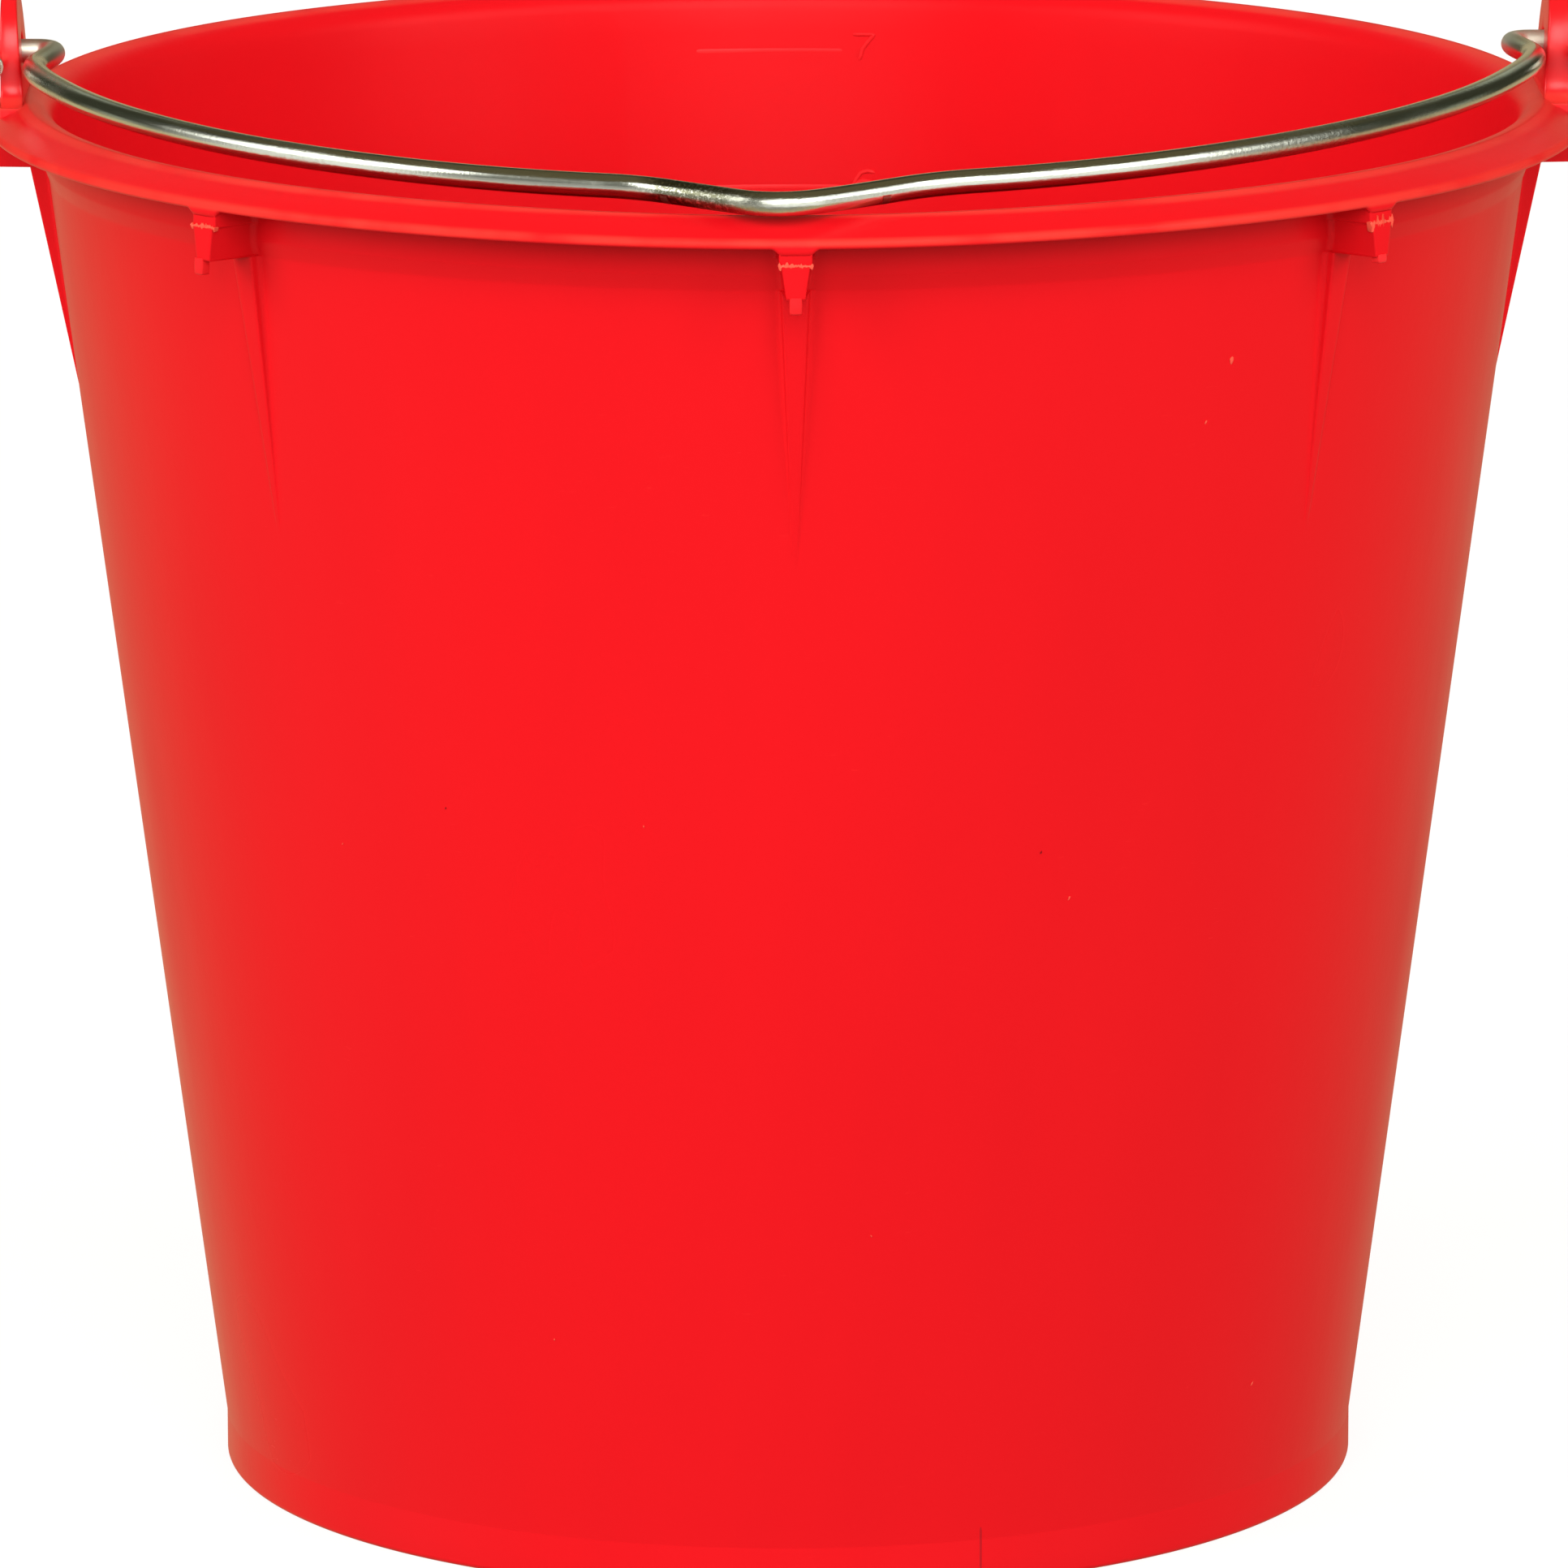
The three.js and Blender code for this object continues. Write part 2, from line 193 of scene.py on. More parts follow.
def rib_section(z):
    """Half the width and the outer radius of a stacking rib at one height."""
    up = (z - RIB_TAIL_Z) / (RIB_HEAD_Z - RIB_TAIL_Z)
    tail = wall_radius(z) + RIB_TAIL_STAND * up
    if z < RIB_NECK_Z - HAIR:
        return TAIL_HALF + TAIL_WIDENS * max(up, 0), tail if up > 0 else 0
    neck_up = (z - RIB_NECK_Z) / (RIB_HEAD_Z - RIB_NECK_Z)
    if z < RIB_HEAD_Z - HAIR:
        face = RIB_NECK_RADIUS - NECK_INSET * (1 - rounded_step(z, RIB_NECK_Z))
        return NECK_HALF + NECK_WIDENS * neck_up, face
    return HEAD_HALF - HEAD_INSET * (1 - rounded_step(z, RIB_HEAD_Z)), RIB_HEAD_RADIUS


def fin_section(z):
    """Half the width and the outer radius of the fin under an ear at one height."""
    if z < FIN_TAIL_Z:
        return FIN_HALF, 0
    if z < FIN_LEDGE_Z - HAIR:
        up = (z - FIN_TAIL_Z) / (FIN_LEDGE_Z - FIN_TAIL_Z)
        return FIN_HALF, wall_radius(z) + FIN_STAND * up
    return FIN_HALF, FIN_RADIUS - FIN_INSET * (1 - rounded_step(z, FIN_LEDGE_Z))


# Across a rib the skin runs over the flat face, round its edge, down the side and out of the root.
# There are eight places round the tub: 0 and 4 have the ears and fins, and the others have ribs.
# Inside FLAT_RADIUS there are only the two floors, and the rings there keep the angles of that one.
EDGE_ROUND = 0.28
ROOT_ROUND = 1.0
ROUND_SHARE = 0.45
SIDE_DRAFT, SIDE_GAP = 0.02, 0.02
NARROWEST_FLAT = 0.1
PLACES = 8
EIGHTH = math.pi / 4
SECTOR_HALF = EIGHTH / 2
FLAT_RADIUS = 60.0
FACE_SHARES = [0.0, 0.35, 0.7]
EDGE_ANGLES = [0, 30, 60, 90]
ROOT_ANGLES = [90, 65, 40, 20, 0]
AWAY_SHARES = [0.012, 0.035, 0.075, 0.13, 0.2, 0.3, 0.44, 0.62, 0.8]
PLAIN_STEPS = 12
PLAIN_FROM = math.radians(7)


def half_section(ring_r, section):
    """(angle from the rib's middle, radius) of each point of one ring's half sector."""
    half_width, face_r = section
    rise = max(face_r - ring_r, 0)
    edge = min(EDGE_ROUND, ROUND_SHARE * rise)
    root = min(ROOT_ROUND, ROUND_SHARE * rise)
    draft = SIDE_DRAFT * rise
    flat = max(half_width - EDGE_ROUND, NARROWEST_FLAT)
    face = max(face_r, ring_r)
    offsets = [(flat * share, face) for share in FACE_SHARES]
    for angle in map(math.radians, EDGE_ANGLES):
        offsets.append((flat + EDGE_ROUND * math.sin(angle), face - edge * (1 - math.cos(angle))))
    side = flat + EDGE_ROUND + draft + SIDE_GAP
    for angle in map(math.radians, ROOT_ANGLES):
        out = ROOT_ROUND * (1 - math.sin(angle))
        offsets.append((side + out, ring_r + root * (1 - math.cos(angle))))
    last = side + ROOT_ROUND
    reach = ring_r * math.sin(PLAIN_FROM)
    offsets += [(last + (reach - last) * share, ring_r) for share in AWAY_SHARES]
    points = [(math.asin(t / r), r) for t, r in offsets]
    for k in range(PLAIN_STEPS):
        points.append((PLAIN_FROM + (SECTOR_HALF - PLAIN_FROM) * k / PLAIN_STEPS, ring_r))
    return points


def whole_ring(ring_r, z, with_forms):
    """(angle, radius) right round the tub at one ring, with or without the ribs and fins."""
    ring = []
    for place in range(PLACES):
        under_ear = place % 4 == 0
        if with_forms:
            section = fin_section(z) if under_ear else rib_section(z)
        else:
            section = (FIN_HALF if under_ear else PLAIN_HALF, 0)
        half = half_section(max(ring_r, FLAT_RADIUS), section)
        if ring_r < FLAT_RADIUS:
            half = [(a, ring_r) for a, _ in half]
        middle = place * EIGHTH
        right = [(middle - a, r) for a, r in half[:0:-1]]
        left = [(middle + a, r) for a, r in half]
        ring += [(middle - SECTOR_HALF, ring_r)] + right + left
    return ring


DIP_DEPTH = 1.05
DIP_FLAT = 2.1
DIP_REACH = 3.7
DIP_FROM_Z, DIP_FROM_RADIUS, DIP_FADE = BRIM_EDGE_Z - 0.3, 124.0, 4.5


def brim_dip(angle, ring_r, z):
    """How far the brim's lower edge hangs down where it runs into a rib's head."""
    place = round(angle / EIGHTH)
    if z < DIP_FROM_Z or ring_r < DIP_FROM_RADIUS or place % 4 == 0:
        return 0.0
    across = abs(ring_r * math.sin(angle - place * EIGHTH))
    share = np.clip((DIP_REACH - across) / (DIP_REACH - DIP_FLAT), 0, 1)
    share = share * share * (3 - 2 * share)
    outward = np.clip((ring_r - DIP_FROM_RADIUS) / DIP_FADE, 0, 1)
    upward = np.clip((BRIM_TOP_Z - z) / (BRIM_TOP_Z - BRIM_EDGE_Z), 0, 1)
    return DIP_DEPTH * share * outward * upward


SAG_FROM_Z = 200.0
SAG_ALL, SAG_FRONT = 0.12, 0.35


def sag(angle, z):
    """How far a thin, slightly uneven brim hangs low all round, and most at the front."""
    if z < SAG_FROM_Z:
        return 0.0
    share = (z - SAG_FROM_Z) / (TUB_HEIGHT - SAG_FROM_Z)
    front = max(0.0, -math.sin(angle)) ** 12
    ripple = 0.07 * math.sin(3 * angle + 0.7) + 0.04 * math.sin(7 * angle)
    return share * share * (SAG_FRONT * front + SAG_ALL + ripple)


def mesh_of(name, vertices, faces):
    """A new object from vertices in millimetres."""
    mesh = bpy.data.meshes.new(name)
    mesh.from_pydata([Vector(v) * MM for v in vertices], [], faces)
    mesh.validate()
    mesh.update()
    piece = bpy.data.objects.new(name, mesh)
    bpy.context.scene.collection.objects.link(piece)
    return piece


def skin_of_rings(rings):
    """Vertices and faces of a skin through closed rings of the same count, capped at both ends."""
    count = len(rings[0])
    vertices = [p for ring in rings for p in ring]
    faces = []
    for i in range(len(rings) - 1):
        for j in range(count):
            k = (j + 1) % count
            a, b = i * count, (i + 1) * count
            faces.append((a + j, a + k, b + k, b + j))
    for first, order in ((0, 1), ((len(rings) - 1) * count, -1)):
        middle = len(vertices)
        vertices.append(tuple(np.mean(vertices[first : first + count], axis=0)))
        for j in range(count):
            k = (j + 1) % count
            faces.append((*(first + k, first + j)[::order], middle))
    return vertices, faces


def smooth(piece, degrees=38):
    for polygon in piece.data.polygons:
        polygon.use_smooth = True
    piece.data.set_sharp_from_angle(angle=math.radians(degrees))


# The rings stop short of the middle of both floors, where a fan of faces closes the skin.
CAP_RADIUS = 0.5
rings = []
for line, outside in ((outer_line, True), (inner_line, False)):
    for ring_r, z in line:
        if ring_r < CAP_RADIUS:
            continue
        ring = []
        for angle, r in whole_ring(ring_r, z, outside and z > FOOT_HEIGHT):
            low = z - brim_dip(angle, ring_r, z) - sag(angle, z)
            ring.append((r * math.cos(angle), r * math.sin(angle), low))
        rings.append(ring)
tub = mesh_of("tub_moulding", *skin_of_rings(rings))
smooth(tub)


class Signal:
    """One value, colour or vector in a finish's nodes; sums on values become Math nodes."""

    def __init__(self, tree, socket=None):
        self.tree = tree
        self.socket = socket

    def node(self, kind, inputs=(), output=0, **settings):
        """Adds any one node: its settings first, then the values or links of its sockets."""
        node = self.tree.nodes.new("ShaderNode" + kind)
        for key, value in settings.items():
            setattr(node, key, value)
        for key, value in dict(inputs).items():
            if isinstance(value, Signal):
                self.tree.links.new(value.socket, node.inputs[key])
            else:
                node.inputs[key].default_value = value
        return Signal(self.tree, node.outputs[output])

    def maths(self, operation, first, second):
        return self.node("Math", {0: first, 1: second}, operation=operation)

    def __add__(self, other):
        return self.maths("ADD", self, other)

    def __sub__(self, other):
        return self.maths("SUBTRACT", self, other)

    def __rsub__(self, other):
        return self.maths("SUBTRACT", other, self)

    def __mul__(self, other):
        return self.maths("MULTIPLY", self, other)

    __radd__ = __add__
    __rmul__ = __mul__

    def between(self, low, high):
        """0 below low, 1 above high and an even slope between."""
        inputs = {"Value": self, "From Min": low, "From Max": high}
        return self.node("MapRange", inputs, clamp=True)

    def band(self, low, low_full, high_full, high):
        """1 between the two full values, fading to 0 at low and at high."""
        return self.between(low, low_full) * (1 - self.between(high_full, high))

    def blend(self, under, over):
        """The colour under, turning into the colour over as this value goes from 0 to 1."""
        return self.node("Mix", {0: self, 6: under, 7: over}, output=2, data_type="RGBA")

    def noise(self, scale, detail=3.0, roughness=0.55):
        inputs = {"Vector": self, "Scale": scale, "Detail": detail, "Roughness": roughness}
        return self.node("TexNoise", inputs)

    def stretched(self, x, y, z):
        return self.node("Mapping", {"Vector": self, "Scale": (x, y, z)})


def new_finish(name):
    """A named material with a bare Principled shader, and a first signal in its nodes."""
    finish = bpy.data.materials.new(name)
    finish.use_nodes = True
    shader = finish.node_tree.nodes["Principled BSDF"]
    return finish, shader, Signal(finish.node_tree)


def feed(shader, name, signal):
    """Links a signal to one named input of a shader."""
    shader.id_data.links.new(signal.socket, shader.inputs[name])


# Red polypropylene: an even, slightly satin red with faint flow clouds, fine scuffs, an
# orange-peel skin from the mould, and a paler band on the brim's edge and on the crest that is
# partly rub wear and partly a painted highlight.
RED = (0.60, 0.0045, 0.0080, 1.0)
RED_DEEP = (0.57, 0.0041, 0.0075, 1.0)
SCUFF_RED = (0.86, 0.055, 0.045, 1.0)
WORN_HIGHLIGHT_RED = (0.62, 0.030, 0.021, 1.0)
EDGE_WEAR_HIGHLIGHT_REACH = ((BRIM_RADIUS - 0.9) * MM, (BRIM_RADIUS - 0.2) * MM)
EDGE_WEAR_HIGHLIGHT_HEIGHT = (BRIM_EDGE_Z * MM, (BRIM_EDGE_Z + 0.5) * MM)
CREST_WEAR_HIGHLIGHT_HEIGHT = [(TUB_HEIGHT + up) * MM for up in (-1.0, -0.6, 0.6, 1.0)]
TUB_SHINE, EAR_SHINE = 0.09, 0.5


def red_plastic(name, colour_high, colour_deep, shine=TUB_SHINE):
    """A red moulded finish whose flow clouds run between two colours."""
    finish, shader, start = new_finish(name)
    place = start.node("TexCoord", output="Object")
    cloud = place.noise(9.0, 2.0).between(0.35, 0.7)
    flow = place.stretched(1, 1, 0.25).noise(38.0, 3.0).between(0.42, 0.7)
    base = (0.55 * cloud + 0.45 * flow).blend(colour_high, colour_deep)
    scratch = place.stretched(1, 1, 6).noise(260.0, 4.0, 0.7).between(0.66, 0.78)
    patch = place.noise(22.0, 3.0).between(0.5, 0.72)
    scuff = scratch * patch * 0.35
    reach = start.node("VectorMath", {0: place.stretched(1, 1, 0)}, output=1, operation="LENGTH")
    height = start.node("SeparateXYZ", {"Vector": place}, output=2)
    # The brim's outer edge and the crest get a paler red: partly rub wear that also dulls them,
    # partly a painted highlight.
    brim_edge_wear_highlight = reach.between(*EDGE_WEAR_HIGHLIGHT_REACH) * height.between(*EDGE_WEAR_HIGHLIGHT_HEIGHT)
    crest_wear_highlight = height.band(*CREST_WEAR_HIGHLIGHT_HEIGHT)
    wear_and_highlight = (brim_edge_wear_highlight + crest_wear_highlight) * place.noise(55.0, 3.0).between(0.25, 0.5)
    base = (0.85 * wear_and_highlight).blend(base, WORN_HIGHLIGHT_RED)
    feed(shader, "Base Color", scuff.blend(base, SCUFF_RED))
    dull = 0.25 * scuff + 0.08 * wear_and_highlight
    feed(shader, "Roughness", 0.27 + 0.08 * cloud + 0.05 * flow + dull)
    peel = 0.7 * place.noise(700.0, 1.0) + 0.3 * place.noise(420.0, 2.0)
    skin = {"Height": peel, "Strength": 0.045, "Distance": 0.0004}
    feed(shader, "Normal", start.node("Bump", skin))
    shader.inputs["Specular IOR Level"].default_value = shine
    shader.inputs["IOR"].default_value = 1.49
    return finish


tub_red = red_plastic("red_polypropylene", RED, RED_DEEP)
tub.data.materials.append(tub_red)
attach(tub, "tub")
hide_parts("tub")


# The ears: two upright plates of the same moulding on the brim, over the fins. Each has a round
# top, a hole for the wire, an inner face with a little draft, and a flare down to the brim.

EAR_INNER_X = {1: 122.8, -1: 123.7}
EAR_OUTER_X = {1: 126.6, -1: 126.9}
EAR_RADIUS = 10.4
PIVOT_Z = 234.0
HOLE_RADIUS = 2.6
EAR_DRAFT = math.tan(math.radians(4.0))
EAR_FLARE, FLARE_SINK = 3.6, 0.6
EAR_EDGE = 0.4
EAR_BEVEL = 0.12
EAR_FOOT_Z = 224.6
FLARE_STEPS, SIDE_STEPS, TOP_STEPS = 8, 5, 48
HOLE_FROM, HOLE_SWEEP = 266, 352  # degrees, round over the top to just short of a full turn


def ear_outline(shrink):
    """(y, z) points round one ear, drawn in by shrink, from its left foot over the top."""
    radius = EAR_RADIUS - shrink
    points = []
    flare_z = TUB_HEIGHT - FLARE_SINK + EAR_FLARE
    for k in range(FLARE_STEPS + 1):
        angle = math.radians(90 * k / FLARE_STEPS)
        out = EAR_FLARE * (1 - math.sin(angle))
        points.append((-(radius + out), flare_z - EAR_FLARE * math.cos(angle)))
    for k in range(SIDE_STEPS):
        points.append((-radius, flare_z + (PIVOT_Z - flare_z) * (k + 1) / SIDE_STEPS))
    mirrored = [(-y, z) for y, z in points[::-1]]
    for k in range(1, TOP_STEPS):
        angle = math.pi * (1 - k / TOP_STEPS)
        points.append((radius * math.cos(angle), PIVOT_Z + radius * math.sin(angle)))
    return [(points[0][0], EAR_FOOT_Z)] + points + mirrored + [(-points[0][0], EAR_FOOT_Z)]


def hole_outline(grow, count):
    """(y, z) points of the hole, matched one to one with the ear's outline."""
    points = []
    for k in range(count):
        angle = math.radians(HOLE_FROM - HOLE_SWEEP * k / (count - 1))
        radius = HOLE_RADIUS + grow
        points.append((radius * math.cos(angle), PIVOT_Z + radius * math.sin(angle)))
    return points


def part_way(first, second, share):
    """A loop on one face of the ear, this share of the way from one loop to another."""
    return [tuple(p + (q - p) * share for p, q in zip(a, b)) for a, b in zip(first, second)]


def face_outwards(piece):
    work = bmesh.new()
    work.from_mesh(piece.data)
    bmesh.ops.recalc_face_normals(work, faces=work.faces)
    work.to_mesh(piece.data)
    work.free()


def ear_piece(side):
    """One ear as two rings of skin, outside and hole, joined over both faces."""
    thick = EAR_OUTER_X[side] - EAR_INNER_X[side]
    count = len(ear_outline(0))
    near = [(0, EAR_EDGE), (EAR_BEVEL, EAR_BEVEL), (EAR_EDGE, 0)]
    far = [(thick - depth, inset) for depth, inset in near]
    rim = [[(y, z, depth) for y, z in ear_outline(inset)] for depth, inset in near + far[::-1]]
    bore = [
        [(y, z, depth) for y, z in hole_outline(inset, count)] for depth, inset in far + near[::-1]
    ]
    outer_face = [part_way(rim[-1], bore[0], share) for share in (0.3, 0.65)]
    inner_face = [part_way(bore[-1], rim[0], share) for share in (0.35, 0.7)]
    loops = rim + outer_face + bore + inner_face
    vertices = []
    for loop in loops:
        for y, z, depth in loop:
            draft = EAR_DRAFT * (z - PIVOT_Z) * (1 - depth / thick)
            vertices.append((side * (EAR_INNER_X[side] + depth + draft), side * y, z))
    faces = []
    for i in range(len(loops)):
        j = (i + 1) % len(loops)
        for k in range(count):
            n = (k + 1) % count
            faces.append((i * count + k, i * count + n, j * count + n, j * count + k))
    piece = mesh_of("ear_right" if side > 0 else "ear_left", vertices, faces)
    face_outwards(piece)
    smooth(piece, 50)
    piece.data.materials.append(ear_red)
    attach(piece, "tub")


ear_red = red_plastic("ear_polypropylene", RED, RED_DEEP, EAR_SHINE)
for side in (1, -1):
    ear_piece(side)


# The marks of the mould on the ribs. Under each rib's head a ragged flash of torn, paler plastic
# was left where the mould parted, and a small square tab hangs on the neck's foot. One tab is
# broken short, and another sits aside of its neck's middle.

FLASH_COLUMNS = 26
FLASH_HALF_WIDTH = 2.7
FLASH_THICK, FLASH_NEXT_TO_END, FLASH_END = (0.1, 0.85), 0.6, 0.08
FLASH_INNER_R, FLASH_OUTER_R = 128.6, 129.6
TAB_TOP_Z, TAB_FOOT_Z, TAB_BROKEN_Z = 214.9, 212.2, 213.5
TAB_HALF_WIDTH = 0.95
TAB_INNER_R, TAB_OUTER_R = 128.1, 129.7
TAB_ROUND = 0.35
TAB_ASIDE = -0.9
TAB_CORNER_STEPS = 4
TORN_RED = (0.68, 0.075, 0.045, 1.0)
# The paler red of the tabs and of the litre ridges is a painted highlight.
PAINTED_HIGHLIGHT_RED = (0.72, 0.024, 0.026, 1.0)
BROKEN_TAB, ASIDE_TAB = 7, 5
TORN_SIZE, LARGEST_TORN_SIZE = 1.0, 1.9
torn = random.Random(11)


def on_rib(place, across, radius, z):
    """A point beside a rib's middle line, in the tub's own frame."""
    angle = place * EIGHTH
    out = math.sqrt(radius * radius - across * across)
    x = out * math.cos(angle) - across * math.sin(angle)
    y = out * math.sin(angle) + across * math.cos(angle)
    return (x, y, z - sag(math.atan2(y, x), z))


def flash_strip(place, size):
    """Rings of five points along the ragged strip from one end of the rib's head to the other."""
    strip = []
    for k in range(FLASH_COLUMNS + 1):
        across = FLASH_HALF_WIDTH * (2 * k / FLASH_COLUMNS - 1)
        thick = size * torn.uniform(*FLASH_THICK) ** 1.5
        if k in (1, FLASH_COLUMNS - 1):
            thick = FLASH_NEXT_TO_END * size
        if k in (0, FLASH_COLUMNS):
            thick = FLASH_END
        low = RIB_HEAD_Z + 0.1 - thick
        high = RIB_HEAD_Z + 0.2 + 0.9 * thick * torn.uniform(0.0, 1.0)
        out = FLASH_OUTER_R - torn.uniform(0.0, 0.22)
        section = [(FLASH_INNER_R, high), (out - 0.12, high), (out, (low + high) / 2)]
        section += [(out - 0.15, low), (FLASH_INNER_R, low + 0.1)]
        strip.append([on_rib(place, across, radius, z) for radius, z in section])
    return strip


def tab_block(place, foot_z):
    """Rings of a small block with rounded edges, from its foot to its top."""
    block = []
    aside = TAB_ASIDE if place == ASIDE_TAB else 0
    rise = TAB_TOP_Z - foot_z
    for up, shrink in ((0, 0.3), (0.1, 0.12), (0.3, 0), (rise * 0.6, -0.02), (rise, 0.03)):
        half = TAB_HALF_WIDTH - shrink
        outer = TAB_OUTER_R - shrink
        right_side = [(half, TAB_INNER_R)]
        for k in range(TAB_CORNER_STEPS + 1):
            turn = math.radians(90 * k / TAB_CORNER_STEPS)
            across = half - TAB_ROUND * (1 - math.cos(turn))
            right_side.append((across, outer - TAB_ROUND * (1 - math.sin(turn))))
        section = right_side + [(-across, radius) for across, radius in right_side[::-1]]
        block.append([on_rib(place, aside + across, r, foot_z + up) for across, r in section])
    return block


def one_mesh(name, forms, finish):
    """One piece on the tub of many small closed forms, each given as its rings."""
    vertices, faces = [], []
    for rings in forms:
        more, skin = skin_of_rings(rings)
        faces += [tuple(len(vertices) + v for v in face) for face in skin]
        vertices += more
    piece = mesh_of(name, vertices, faces)
    face_outwards(piece)
    smooth(piece, 40)
    piece.data.materials.append(finish)
    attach(piece, "tub")


strips, tabs = [], []
for place in range(PLACES):
    if place % 4:
        broken = place == BROKEN_TAB
        strips.append(flash_strip(place, LARGEST_TORN_SIZE if broken else TORN_SIZE))
        tabs.append(tab_block(place, TAB_BROKEN_Z if broken else TAB_FOOT_Z))
torn_red = red_plastic("torn_polypropylene", TORN_RED, TORN_RED)
one_mesh("rib_flash", strips, torn_red)
# The tabs' paler red is a painted highlight.
painted_highlight_red = red_plastic("painted_highlight_polypropylene", PAINTED_HIGHLIGHT_RED, RED)
one_mesh("rib_tabs", tabs, painted_highlight_red)


# The litre scale: low half-round ridges moulded on the inside of the back wall, a line for each
# litre with its plain number beside it.

LITRE_Z = {1: 45.6, 2: 79.4, 3: 110.5, 4: 139.4, 5: 166.4, 6: 192.6, 7: 215.8}
SCALE_FROM_X, SCALE_TO_X = -14.0, 11.0
NUMBER_X, NUMBER_DROP = 12.9, 1.6
NUMBER_WIDTH, NUMBER_HEIGHT = 3.6, 4.4
RIDGE_WIDTH, LINE_RELIEF, NUMBER_RELIEF = 0.7, 0.04, 0.26
RIDGE_SINK, RIDGE_END, RIDGE_STEPS = 0.2, 0.45, 6
STROKE_STEP = 0.35
bowl_turns = np.roll(np.linspace(0, 6.28, 20), -10)
ROUND_BOWL = [(0.5 + 0.5 * math.cos(turn), 0.3 + 0.3 * math.sin(turn)) for turn in bowl_turns]
NUMBER_STROKES = {
    1: [(0.2, 0.75), (0.55, 1), (0.55, 0)],
    2: [(0, 0.8), (0.2, 0.97), (0.6, 1), (0.95, 0.8), (0.85, 0.5), (0, 0), (1, 0)],
    3: [(0, 1), (0.95, 1), (0.45, 0.6), (0.85, 0.5), (1, 0.28), (0.7, 0.02), (0.3, 0), (0, 0.15)],
    4: [(0.75, 0), (0.75, 1), (0, 0.3), (1, 0.3)],
    5: [(0.95, 1), (0.15, 1), (0.1, 0.55), (0.6, 0.6), (1, 0.32), (0.7, 0.03), (0.3, 0), (0, 0.15)],
    6: [(1, 0.92), (0.72, 1), (0.35, 0.92), (0.08, 0.6), (0, 0.3)] + ROUND_BOWL,
    7: [(0, 1), (1, 1), (0.45, 0.45), (0.3, 0)],
}


def ridge(points, normals, width, relief):
    """Rings of a half-round ridge that follows points on a wall, sunk a little into it."""
    points, normals = np.array(points, float), np.array(normals, float)
    ahead = np.gradient(points, axis=0)
    ahead /= np.linalg.norm(ahead, axis=1)[:, None]
    rings = []
    for i, (here, out, along) in enumerate(zip(points, normals, ahead)):
        across = np.cross(along, out)
        end = RIDGE_END if i in (0, len(points) - 1) else 1.0
        root = here - out * RIDGE_SINK
        ring = [root - across * width / 2 * end]
        for k in range(RIDGE_STEPS + 1):
            turn = math.pi * k / RIDGE_STEPS
            side = -math.cos(turn) * width / 2
            ring.append(here + (across * side + out * relief * math.sin(turn)) * end)
        ring.append(root + across * width / 2 * end)
        rings.append(ring)
    return rings


def on_back_wall(stroke):
    """Evenly spaced points of a stroke of (x, z) on the inside of the back wall, with normals."""
    stroke = np.array(stroke, float)
    lengths = np.concatenate([[0], np.cumsum(np.linalg.norm(np.diff(stroke, axis=0), axis=1))])
    at = np.linspace(0, lengths[-1], max(4, int(lengths[-1] / STROKE_STEP)))
    points, normals = [], []
    for x, z in zip(np.interp(at, lengths, stroke[:, 0]), np.interp(at, lengths, stroke[:, 1])):
        radius = inner_radius(z)
        y = math.sqrt(radius * radius - x * x)
        points.append((x, y, z))
        normal = np.array([-x / radius, -y / radius, WALL_SLOPE])
        normals.append(normal / np.linalg.norm(normal))
    return points, normals


scale_ridges = []
for litres, z in LITRE_Z.items():
    line = [(SCALE_FROM_X, z), (SCALE_TO_X, z)]
    foot_z = z - NUMBER_DROP
    number = [
        (NUMBER_X + NUMBER_WIDTH * u, foot_z + NUMBER_HEIGHT * v) for u, v in NUMBER_STROKES[litres]
    ]
    for stroke, relief in ((line, LINE_RELIEF), (number, NUMBER_RELIEF)):
        scale_ridges.append(ridge(*on_back_wall(stroke), RIDGE_WIDTH, relief))
# The litre ridges' paler red is a painted highlight.
one_mesh("litre_scale", scale_ridges, painted_highlight_red)


# Small faults of the moulding on the outside: burrs and specks that stuck to the wall, pale or
# dark, and a short upright seam on the foot where two halves of the mould met.

PALE_SPECKS = [(68.0, 199.0, 0.55), (64.0, 189.5, 0.35), (43.0, 114.0, 0.35), (74.0, 25.5, 0.3)]
PALE_SPECKS += [(-71.0, 119.5, 0.2), (-23.5, 127.5, 0.2), (-38.0, 41.0, 0.2), (12.0, 60.0, 0.18)]
DARK_SPECKS = [(38.5, 122.0, 0.24), (-54.5, 128.0, 0.2)]
DARK_RED = (0.16, 0.004, 0.006, 1.0)
SEAM_RED = (0.36, 0.006, 0.010, 1.0)
SEAM_X, SEAM_TOP_Z, SEAM_WIDTH, SEAM_RELIEF = 29.6, 9.6, 0.34, 0.05
SEAM_FOOT_Z, SEAM_STEPS = 0.9, 14
SPECK_CORNERS, SPECK_NARROW, SPECK_TALL = 9, 0.7, 1.3
SPECK_LEVELS = ((1.0, -0.05), (0.92, 0.07), (0.5, 0.13))
fallen = random.Random(5)


def speck(x, z, size):
    """Rings of one crumb with a ragged edge, stuck on the front of the wall."""
    rings = []
    lean = fallen.uniform(-0.6, 0.6)
    edge = [fallen.uniform(0.55, 1.0) for _ in range(SPECK_CORNERS)]
    for share, stand in SPECK_LEVELS:
        ring = []
        for k, reach in enumerate(edge):
            turn = 2 * math.pi * k / len(edge)
            across = size * reach * share * math.cos(turn) * SPECK_NARROW
            up = size * reach * share * math.sin(turn) * SPECK_TALL
            at_x, at_z = x + across + lean * up, z + up
            radius = wall_radius(at_z) + stand
            ring.append((at_x, -math.sqrt(radius * radius - at_x * at_x), at_z))
        rings.append(ring)
    return rings


